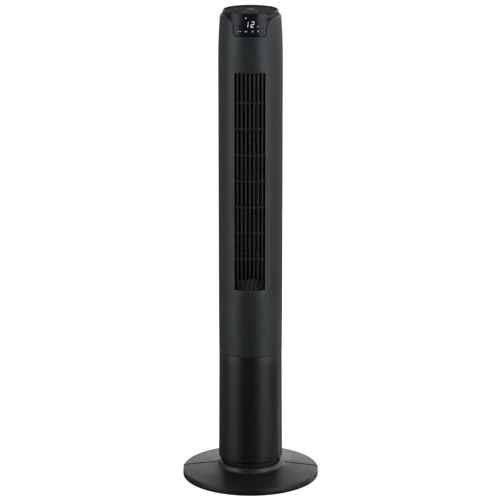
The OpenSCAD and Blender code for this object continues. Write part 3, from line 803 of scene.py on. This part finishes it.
def build_column():
    """The column's shell: a rounded foot, sides that narrow a little, and holes for gland and screws."""
    corner = 5.5
    lip = 62.4
    low_side = 54
    edge = 0.8
    top_in = COLUMN_TOP_R - WALL
    foot = arc(FOOT_R - corner, COLUMN_LOW + corner, corner, -90, 0, 12)
    side = []
    for k in range(1, 12):
        t = k / 12
        side.append((FOOT_R + (COLUMN_TOP_R - FOOT_R) * t, low_side + (COLUMN_HIGH - edge - low_side) * t))
    rim = arc(COLUMN_TOP_R - edge, COLUMN_HIGH - edge, edge, 0, 90, 4)
    inner = [(top_in + 0.3, COLUMN_HIGH), (top_in, COLUMN_HIGH - 0.3), (FOOT_R - WALL, 58),
             (FOOT_R - WALL - 0.7, 52), (lip, 48.5)]
    loop = [(lip, COLUMN_LOW)] + foot + side + rim + inner
    piece = make("column_cover", *turned(loop, 160), 40)
    cut(piece, [tube_y(0, GLAND_H, GLAND_R, *THROUGH_WALL, 40)] + joint_screw_holes(SCREW_LOW_ROW), 40)
    dress(piece, "tower", ["column_shell"], "column_plastic")


# ---- Head shells ----

def head_rows(levels):
    """Outer and inner points (r, z) of the head's wall at the given heights, then over the shoulder."""
    rows = []
    taper, taper_top = 0.5, 387
    bend_in, bend_up = 5, 8
    for z in levels:
        r = lean(z) - taper * max(taper_top - z, 0) / (taper_top - HEAD_LOW)
        rows.append(((r, z), (r - WALL, min(z, SHOULDER_H - WALL))))
    top = lean(SHOULDER_H)
    in_r = lean(SHOULDER_H - WALL) - WALL
    for k in range(1, 9):
        a = math.radians(10 * k)
        outer = (top - bend_in + bend_in * math.cos(a), SHOULDER_H + bend_up * math.sin(a))
        t = k / 9
        rows.append((outer, (in_r + (OPENING_R - in_r) * t, SHOULDER_H - WALL + 7 * t ** 1.2)))
    rows.append(((OPENING_R, HEAD_TOP), (OPENING_R, HEAD_TOP - 3.5)))
    return rows


def tongue_edge(z, grow):
    """Half width of the panel's tongue at a height. Grow is how far the outline is moved out."""
    corner = TONGUE_CORNER + grow
    centre = TONGUE_LOW + TONGUE_CORNER
    if z < centre:
        drop = min(centre - z, corner)
        return TONGUE_W - TONGUE_CORNER + math.sqrt(corner * corner - drop * drop)
    if z < BEND_FROM:
        return TONGUE_W + grow
    s = min(math.sin(BEND_START) + (z - BEND_FROM) / BEND_R, 1)
    return TONGUE_W + grow + BEND_R * (math.cos(BEND_START) - math.sqrt(1 - s * s))


def front_edge(z):
    """Half width, at a height, of the strip that holds the window and the tongue's opening."""
    gap_low = TONGUE_LOW - GROOVE
    if z <= WINDOW_HIGH:
        return WINDOW_W
    if z <= gap_low:
        change = TONGUE_W - TONGUE_CORNER - WINDOW_W
        return WINDOW_W + change * (z - WINDOW_HIGH) / (gap_low - WINDOW_HIGH)
    return tongue_edge(z, GROOVE)


def build_front_shell():
    """The head's front half, open at the outlet window and round the panel's tongue."""
    gap_low = TONGUE_LOW - GROOVE
    corner = [gap_low + 6 * (1 - math.cos(math.radians(a))) for a in range(0, 91, 15)]
    levels = ([HEAD_LOW, 304, 320, 342, 365, 387, 410, 435] + spaced(WINDOW_LOW, WINDOW_HIGH, 24)
              + [962, 970, 980, 990, 1000, 1010, 1020, 1027] + corner
              + [1043, 1048, BEND_FROM, 1057, 1060, 1063, 1065.2, SHOULDER_H])
    middle, side = 20, 22
    low_row = levels.index(WINDOW_LOW)
    high_row = levels.index(WINDOW_HIGH)
    tongue_row = levels.index(corner[0])
    outer, inner = [], []
    for (r, z), (ri, zi) in head_rows(levels):
        for radius, height, out in ((r, z, outer), (ri, zi, inner)):
            e = math.asin(min(front_edge(z) / radius, 0.99))
            angles = ([-math.pi / 2 + (math.pi / 2 - e) * k / side for k in range(side)]
                      + [-e + 2 * e * k / middle for k in range(middle)]
                      + [e + (math.pi / 2 - e) * k / side for k in range(side + 1)])
            out.append([(radius * math.sin(a), -radius * math.cos(a), height) for a in angles])

    def solid(i, j):
        central = side <= j < side + middle
        return not (central and (low_row <= i < high_row or i >= tongue_row))

    parts = [slab(outer, inner, solid)]
    wall_y = math.sqrt(POST_R ** 2 - SHELL_SCREW_X ** 2)
    for x, z in SHELL_SCREWS:
        behind = 6 if z > LEAN_FROM else 3
        parts.append(boss(x, z, 4.5, 1.6, behind - wall_y, -0.2))
    dress(make("head_front", *joined(*parts), 38, 0.4), "tower", ["front_shell"], "head_plastic")


def boss(x, z, r, hole, y0, y1=None):
    """A screw post along Y, with its hole. Without a far end it runs nearly up to the head's rear wall."""
    steps = 24
    wall_r = lean(z) - WALL - 0.5
    verts, faces = [], []
    for y, radius in ((y0, r), (y1, r), (y1, hole), (y0, hole)):
        for px, pz in circle(x, z, radius, steps):
            verts.append((px, math.sqrt(wall_r ** 2 - px ** 2) if y is None else y, pz))
    for ring in range(4):
        p, q = ring * steps, ((ring + 1) % 4) * steps
        for k in range(steps):
            m = (k + 1) % steps
            faces.append((p + k, p + m, q + m, q + k))
    return verts, faces


def intake_rows():
    """Heights of the rear shell's rows, the bottom edge of each slot, and each field's two ends."""
    below, above, edge = 5.0, 2.0, 0.6
    levels = [HEAD_LOW, 304, 320, 342, 365, 387, 410, 435, 450]
    slots, fields = [], []
    for g in range(FIELD_COUNT):
        first = FIELD_FIRST + g * FIELD_PITCH
        last = first + SLOT_ROWS * SLOT_PITCH
        fields.append((first - below, last - above))
        levels += [first - below - edge, first - below]
        for i in range(SLOT_ROWS):
            slots.append(first + i * SLOT_PITCH)
            levels += [first + i * SLOT_PITCH, first + i * SLOT_PITCH + SLOT_H]
        levels += [last - above, last - above + edge]
    levels += [955, 962, 970, 980, 990, 1000, 1010, 1020, 1030, 1040, 1050, 1060, SHOULDER_H]
    return levels, slots, fields


def rear_wall():
    """The rear shell's wall, with its slots left open and the fields round them set back."""
    levels, slots, fields = intake_rows()
    slot_to, field_to = 12, 13
    half = spaced(0, math.asin(SLOT_W / HEAD_R), slot_to)
    half += [math.asin(FIELD_W / HEAD_R), math.asin(FIELD_EDGE / HEAD_R)]
    side_from = half[-1]
    half += spaced(side_from, math.pi / 2, 12)[1:]
    angles = [-a for a in reversed(half[1:])] + half
    zero = len(half) - 1
    side_in = math.asin(FIELD_EDGE / (HEAD_R - WALL))

    def inner_angle(k, a):
        """Behind the field, inner points lie straight behind the outer ones; beside it, they spread out."""
        if k <= field_to + 1:
            return math.asin(min(HEAD_R * math.sin(a) / (HEAD_R - WALL), 1))
        return side_in + (math.pi / 2 - side_in) * ((a - side_from) / (math.pi / 2 - side_from))

    outer, inner = [], []
    for (r, z), (ri, zi) in head_rows(levels):
        in_field = any(a - 0.01 <= z <= b + 0.01 for a, b in fields)
        out_row, in_row = [], []
        for j, a in enumerate(angles):
            k = abs(j - zero)
            radius = r - FIELD_DEEP if in_field and k <= field_to else r
            out_row.append((radius * math.sin(a), radius * math.cos(a), z))
            b = math.copysign(inner_angle(k, abs(a)), a)
            in_row.append((ri * math.sin(b), ri * math.cos(b), zi))
        outer.append(out_row)
        inner.append(in_row)

    def solid(i, j):
        open_column = abs(j - zero + 0.5) < slot_to
        return not (i < len(levels) and open_column and levels[i] in slots)

    return slab(outer, inner, solid)


def rear_ribs():
    """Five upright ribs behind the slots, as high as all four fields."""
    steps = 3
    spread = 1.3
    ends = (FIELD_FIRST - 6, FIELD_FIRST + (FIELD_COUNT - 1) * FIELD_PITCH + SLOT_ROWS * SLOT_PITCH)
    ribs = []
    for middle in (46, 68, 90, 112, 134):
        turns = [math.radians(middle + spread - 2 * spread * k / steps) for k in range(steps + 1)]
        faces = [[[(radius * math.cos(a), radius * math.sin(a), z) for a in turns] for z in ends]
                 for radius in (HEAD_R - 1, HEAD_R - WALL - 2.5)]
        ribs.append(slab(*faces, lambda i, j: True))
    return ribs


def build_rear_shell():
    """The head's rear half: slotted wall, ribs and screw posts, with recesses for the screws."""
    posts = [boss(x, z, 5, 1.8, 0.2) for x, z in SHELL_SCREWS]
    piece = make("head_rear", *joined(rear_wall(), *rear_ribs(), *posts), 38, 0.3)
    recesses = [tube_y(x, z, 3.6, 14, 60, 28) for x, z in SHELL_SCREWS]
    cut(piece, recesses + joint_screw_holes(SCREW_HIGH_ROW), 38)
    dress(piece, "tower", ["rear_shell"], "head_plastic")


# ---- Grille ----

def build_grille():
    """Upright bars with rounded fronts, thin cross bars set back between them, and a frame round them."""
    outer_r, inner_r = 71.2, 66.3
    frame_out, frame_in, frame_w = 69.2, 66.0, 35.8
    crown = 1.7
    step = 0.15
    x_lines = [(-frame_w, 0), (-WINDOW_W, 0), (-WINDOW_W + step, crown)]
    bar_cells = set()
    across = (-1, -0.85, -0.5, 0, 0.5, 0.85, 1)
    for i in range(1, BAR_COUNT + 1):
        centre = (i - (BAR_COUNT + 1) / 2) * BAR_PITCH
        bar_cells |= set(range(len(x_lines), len(x_lines) + len(across) - 1))
        x_lines += [(centre + f * BAR_W / 2, crown * (1 - math.sqrt(1 - f * f))) for f in across]
    x_lines += [(WINDOW_W - step, crown), (WINDOW_W, 0), (frame_w, 0)]
    z_lines = [FRAME_LOW, WINDOW_LOW, WINDOW_LOW + step]
    cross = set()
    for i in range(CROSS_COUNT):
        z = CROSS_FIRST + i * CROSS_PITCH - CROSS_H / 2
        cross.add(len(z_lines))
        z_lines += [z, z + CROSS_H]
    z_lines += [WINDOW_HIGH - step, WINDOW_HIGH, FRAME_HIGH]
    outer, inner = [], []
    for i, z in enumerate(z_lines):
        edge_row = i < 2 or i > len(z_lines) - 3
        out_row, in_row = [], []
        for j, (x, depth) in enumerate(x_lines):
            edge = edge_row or j < 2 or j > len(x_lines) - 3
            r_out, r_in = (frame_out, frame_in) if edge else (outer_r, inner_r)
            back = 0 if edge else depth
            out_row.append((x, back - math.sqrt(r_out ** 2 - x * x), z))
            in_row.append((x, -math.sqrt(r_in ** 2 - x * x), z))
        outer.append(out_row)
        inner.append(in_row)

    def solid(i, j):
        rim = i == 0 or i == len(z_lines) - 2 or j == 0 or j == len(x_lines) - 2
        return rim or i in cross or j in bar_cells

    piece = make("outlet_grille", *slab(outer, inner, solid), 38, 0.3)
    dress(piece, "tower", ["front_grille"], "grille_plastic")


# ---- Control panel ----

def panel_r(z):
    """Radius of the panel's outer face: the tongue below, flowing into the cap wall above."""
    if z >= FLARE_TOP:
        return CAP_R
    if z <= FLARE_LOW:
        return lean(z) - TONGUE_SUNK
    t = (FLARE_TOP - z) / (FLARE_TOP - FLARE_LOW)
    return CAP_R + (lean(FLARE_LOW) - TONGUE_SUNK - CAP_R) * (3 * t * t - 2 * t ** 3)


def cap_rim():
    """Points (r, z) over the rim of the cap wall and down its inside, with the ledge under the cover."""
    edge = 1.8
    inside = CAP_R - 2.2
    ledge_in = CAP_R - 5
    points = [(CAP_R, FLARE_TOP + 1.5)] + arc(CAP_R - edge, TOTAL_H - edge, edge, 0, 90, 6)
    points += [(inside, TOTAL_H - 0.4), (inside, PLATE_LOW), (ledge_in, PLATE_LOW)]
    return points + [(ledge_in, PLATE_LOW - 2), (inside, PLATE_LOW - 4), (inside, CAP_FOOT)]


def panel_inside(z):
    """The point (r, z) of the panel's inner face that lies square behind the outer one at a height."""
    skin = 2.2
    step = 0.2
    fall = (panel_r(z + step) - panel_r(z - step)) / (2 * step)
    size = math.hypot(fall, 1)
    return max(panel_r(z) - skin / size, CAP_R), min(z + skin * fall / size, CROTCH_H)


def build_panel():
    """The cap's wall: its front part runs down into the tongue, and the rest goes round the back."""
    corner = [TONGUE_LOW + TONGUE_CORNER * (1 - math.cos(math.radians(a))) for a in range(0, 91, 18)]
    levels = corner + [1042, 1047, 1051, BEND_FROM, 1057, 1060, 1063, 1065, 1067, 1069, 1070.5, 1072,
                       1073.5, 1074.7, 1075.8, 1076.8, 1077.6, 1078.3, FLARE_TOP]
    end_angle = math.asin(CROTCH_X / CAP_R)

    def edge_angle(z):
        x = min(tongue_edge(z, 0), CROTCH_X)
        return math.asin(min(x / panel_r(z), math.sin(end_angle)))

    rim = cap_rim()
    outer = [(panel_r(z), z, edge_angle(z)) for z in levels]
    inner = [(*panel_inside(z), edge_angle(z)) for z in levels[:-1]]
    front_loop = outer + [(r, z, end_angle) for r, z in rim]
    front_loop += [(CAP_R, CAP_FOOT, end_angle), (CAP_R, CROTCH_H, end_angle)] + inner[::-1]
    verts = []
    columns = 56
    n = len(front_loop)
    for j in range(columns + 1):
        u = -1 + 2 * j / columns
        verts += [(r * math.sin(u * e), -r * math.cos(u * e), z) for r, z, e in front_loop]
    faces = bands(columns, n)
    back = [n - 1 - k for k in range(len(inner))] + [len(outer) + len(rim) + 1]
    for j in (0, columns):
        for k in range(len(outer) - 1):
            faces.append((j * n + k, j * n + k + 1, j * n + back[k + 1], j * n + back[k]))
    rest_columns = 84
    rest_loop = [(CAP_R, CAP_FOOT), (CAP_R, CROTCH_H), (CAP_R, FLARE_TOP)] + rim
    faces += bands(rest_columns, len(rest_loop), len(verts))
    for j in range(rest_columns + 1):
        a = end_angle + (2 * math.pi - 2 * end_angle) * j / rest_columns
        verts += [(r * math.sin(a), -r * math.cos(a), z) for r, z in rest_loop]
    piece = make("control_cap", verts, faces, 38, 0.3)
    dress(piece, "tower", ["control_panel"], "panel_gloss")


# ---- Display ----

def on_panel(x, z, lift):
    """The point in front of (x, z) that lies lift above the panel's face."""
    r = panel_r(z) + lift
    return x, -math.sqrt(r * r - x * x), z


def film(outline):
    """A thin closed shape lying on the panel, from its outline in (x, z)."""
    lift, thick = 0.06, 0.25
    front = [on_panel(x, z, lift) for x, z in outline]
    return prism(front, [on_panel(x, z, lift - thick) for x, z in outline])


def bar_outline(a, b, width):
    """Six-sided segment from a to b with pointed ends."""
    dx, dz = b[0] - a[0], b[1] - a[1]
    size = math.hypot(dx, dz)
    ux, uz = dx / size, dz / size
    h = width / 2
    sides = [(0, 0), (h, h), (size - h, h), (size, 0), (size - h, -h), (h, -h)]
    return [(a[0] + ux * s - uz * w, a[1] + uz * s + ux * w) for s, w in sides]


def bar(x0, z0, x1, z1, width):
    """A straight stroke on the panel."""
    return film(bar_outline((x0, z0), (x1, z1), width))


def disc(x, z, r):
    """A round dot on the panel."""
    return film(circle(x, z, r, 20))


def digit(x0, z0, pairs):
    """Segments of one figure. Corners are (column 0 to 1, row 0 to 2)."""
    width, height, stroke, gap = 7.2, 13.0, 1.55, 0.18
    slant = math.tan(math.radians(8))
    shapes = []
    for (ca, ra), (cb, rb) in pairs:
        a = [ca * (width - stroke) + stroke / 2, ra * (height - stroke) / 2 + stroke / 2]
        b = [cb * (width - stroke) + stroke / 2, rb * (height - stroke) / 2 + stroke / 2]
        size = math.hypot(b[0] - a[0], b[1] - a[1])
        for k in (0, 1):
            step = (b[k] - a[k]) / size * gap
            a[k] += step
            b[k] -= step
        outline = [(x0 + x + z * slant, z0 + z) for x, z in bar_outline(a, b, stroke)]
        shapes.append(film(outline))
    return shapes


def build_display():
    """Two glowing figures with a lamp above them, and dimmer icons below and beside them."""
    one = [((1, 0), (1, 1)), ((1, 1), (1, 2))]
    two = [((0, 2), (1, 2)), ((1, 1), (1, 2)), ((0, 1), (1, 1)), ((0, 0), (0, 1)), ((0, 0), (1, 0))]
    figure_z = 1054.6
    figures = digit(-11.4, figure_z, one) + digit(1.2, figure_z, two) + [disc(-9.2, 1074.2, 1.2)]
    dress(make("display_figures", *joined(*figures), 30), "tower", ["led_segments"], "led_light")
    z = 1045.6
    icons = [
        bar(-26.4, z - 0.2, -19.0, z - 0.2, 1.7),
        disc(-9.8, z, 1.3),
        bar(-8.0, z - 1.4, -6.0, z + 1.4, 1.1),
        bar(4.0, z - 1.6, 6.6, z + 1.4, 1.2),
        bar(6.4, z + 1.4, 8.6, z - 0.8, 1.1),
        bar(18.2, z - 2.0, 18.2, z + 2.0, 1.3),
        bar(16.4, z + 0.9, 20.0, z + 0.9, 1.1),
        bar(15.6, z + 10.6, 18.2, z + 10.6, 1.3),
        bar(18.8, z + 10.6, 21.4, z + 10.6, 1.3),
    ]
    dress(make("display_icons", *joined(*icons), 30), "tower", [], "led_light", DIM_GLOW)


# ---- Top plate and keys ----

def key_centre(node):
    """Middle of a key's box from above, in millimetres."""
    lo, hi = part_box(node)
    return (lo.x + hi.x) / 2 / MM, (lo.y + hi.y) / 2 / MM


def build_plate():
    """The cover inside the cap: a turned disc with round holes for the keys."""
    r = CAP_R - 2.4
    middle_r = 30
    loop = [(DISC_CENTRE, PLATE_LOW), (r, PLATE_LOW), (r, PLATE_TOP - 0.4), (r - 0.4, PLATE_TOP),
            (middle_r, PLATE_TOP), (DISC_CENTRE, PLATE_TOP)]
    piece = make("cap_cover", *turned(loop, 120), 40)
    point = 0.001
    holes = []
    for node, radius in KEYS.items():
        hole = radius + KEY_GAP
        mouth = hole + 0.45
        shape = [(point, PLATE_LOW - 2), (hole, PLATE_LOW - 2), (hole, PLATE_TOP - 0.35),
                 (mouth, PLATE_TOP + 0.1), (mouth, PLATE_TOP + 2), (point, PLATE_TOP + 2)]
        holes.append(turned(shape, 64, key_centre(node)))
    cut(piece, holes, 40)
    dress(piece, "tower", ["top_plate"], "key_gloss")


def flat_mark(outline, z, centre):
    """A flat printed mark over a key's dished top, 0.08 mm thick."""
    places = [(centre[0] + x, centre[1] + y) for x, y in outline]
    return prism([(x, y, z - 0.02) for x, y in places], [(x, y, z + 0.06) for x, y in places])


def arc_mark(r, width, a0, a1):
    """Outline of a curved stroke round the key's centre."""
    return arc(0, 0, r + width / 2, a0, a1, 24) + arc(0, 0, r - width / 2, a0, a1, 24)[::-1]


def bar_mark(x0, y0, x1, y1, width):
    """Outline of a straight stroke."""
    dx, dy = x1 - x0, y1 - y0
    size = math.hypot(dx, dy)
    px, py = -dy / size * width / 2, dx / size * width / 2
    return [(x0 + px, y0 + py), (x1 + px, y1 + py), (x1 - px, y1 - py), (x0 - px, y0 - py)]


MARKS = {
    "power_key": [arc_mark(3.2, 0.7, 125, 415), bar_mark(0, 1.2, 0, 4.6, 0.7)],
    "speed_key": [bar_mark(-1.8, -1.8, -1.8, -0.4, 0.8), bar_mark(0, -1.8, 0, 0.6, 0.8),
                  bar_mark(1.8, -1.8, 1.8, 1.8, 0.8)],
    "mode_key": [arc_mark(2.2, 0.6, 0, 180), arc_mark(2.2, 0.6, 180, 360), bar_mark(-1.2, 0, 1.2, 0, 0.6)],
    "timer_key": [arc_mark(2.3, 0.6, 0, 359), bar_mark(0, 0, 0, 1.6, 0.5), bar_mark(0, 0, 1.1, 0, 0.5)],
    "swing_key": [arc_mark(2.6, 0.6, 200, 340), bar_mark(-2.9, 0.9, -2.4, -1.4, 0.6),
                  bar_mark(2.9, 0.9, 2.4, -1.4, 0.6)],
}


def key_shape(node, r):
    """Outline (r, z) of a key: its stem, the flange that stays under the cover, and a dished top."""
    foot = low(node, 2)
    flange_low = PLATE_LOW - 1.8
    flange_top = PLATE_LOW - 0.3
    edge = 0.7
    stem = [(DISC_CENTRE, foot), (2.3, foot), (2.5, foot + 0.2), (2.5, flange_low)]
    flange = [(r + 1.2, flange_low), (r + 1.4, PLATE_LOW - 1.6), (r + 1.4, PLATE_LOW - 0.5),
              (r + 1.2, flange_top), (r, flange_top), (r, KEY_TOP - edge)]
    dish = [(r * f, KEY_TOP - KEY_DISH * (1 - f * f)) for f in (0.8, 0.6, 0.4, 0.2)]
    dish.append((DISC_CENTRE, KEY_TOP - KEY_DISH))
    return stem + flange + arc(r - edge, KEY_TOP - edge, edge, 15, 90, 4) + dish


def build_keys():
    """The five keys in their own bodies, each with its mark."""
    for node, r in KEYS.items():
        centre = key_centre(node)
        button = make(node.replace("_key", "_button"), *turned(key_shape(node, r), 64, centre), 40)
        dress(button, node, [node], "key_gloss", KEY_PALE if node == "power_key" else None)
        marks = [flat_mark(m, KEY_TOP - KEY_DISH + 0.12, centre) for m in MARKS[node]]
        dress(make(node.replace("_key", "_mark"), *joined(*marks), 30), node, [], "key_gloss", MARK_GREY)


# ---- CAD nodes: finished as their record's slot says, apart from these two ----

# duct_floor: a paler grey, painted light on the outlet's floor
# turntable: darker and duller, painted shade in the gap under the column
SPECIAL = {"duct_floor": SILL_PAINTED_LIGHT, "turntable": NECK_PAINTED_SHADE}


def dress_nodes():
    """Puts the finishes on the CAD meshes, most of them inside the fan."""
    for part in frame["record"]["subparts"]:
        mesh = frame["nodes"][part["node"]].data
        mesh.materials.clear()
        mesh.materials.append(SPECIAL.get(part["node"], MATERIALS[part["material_slot"]]))


build_base()
build_column()
build_front_shell()
build_rear_shell()
build_grille()
build_panel()
build_display()
build_plate()
build_keys()
dress_nodes()
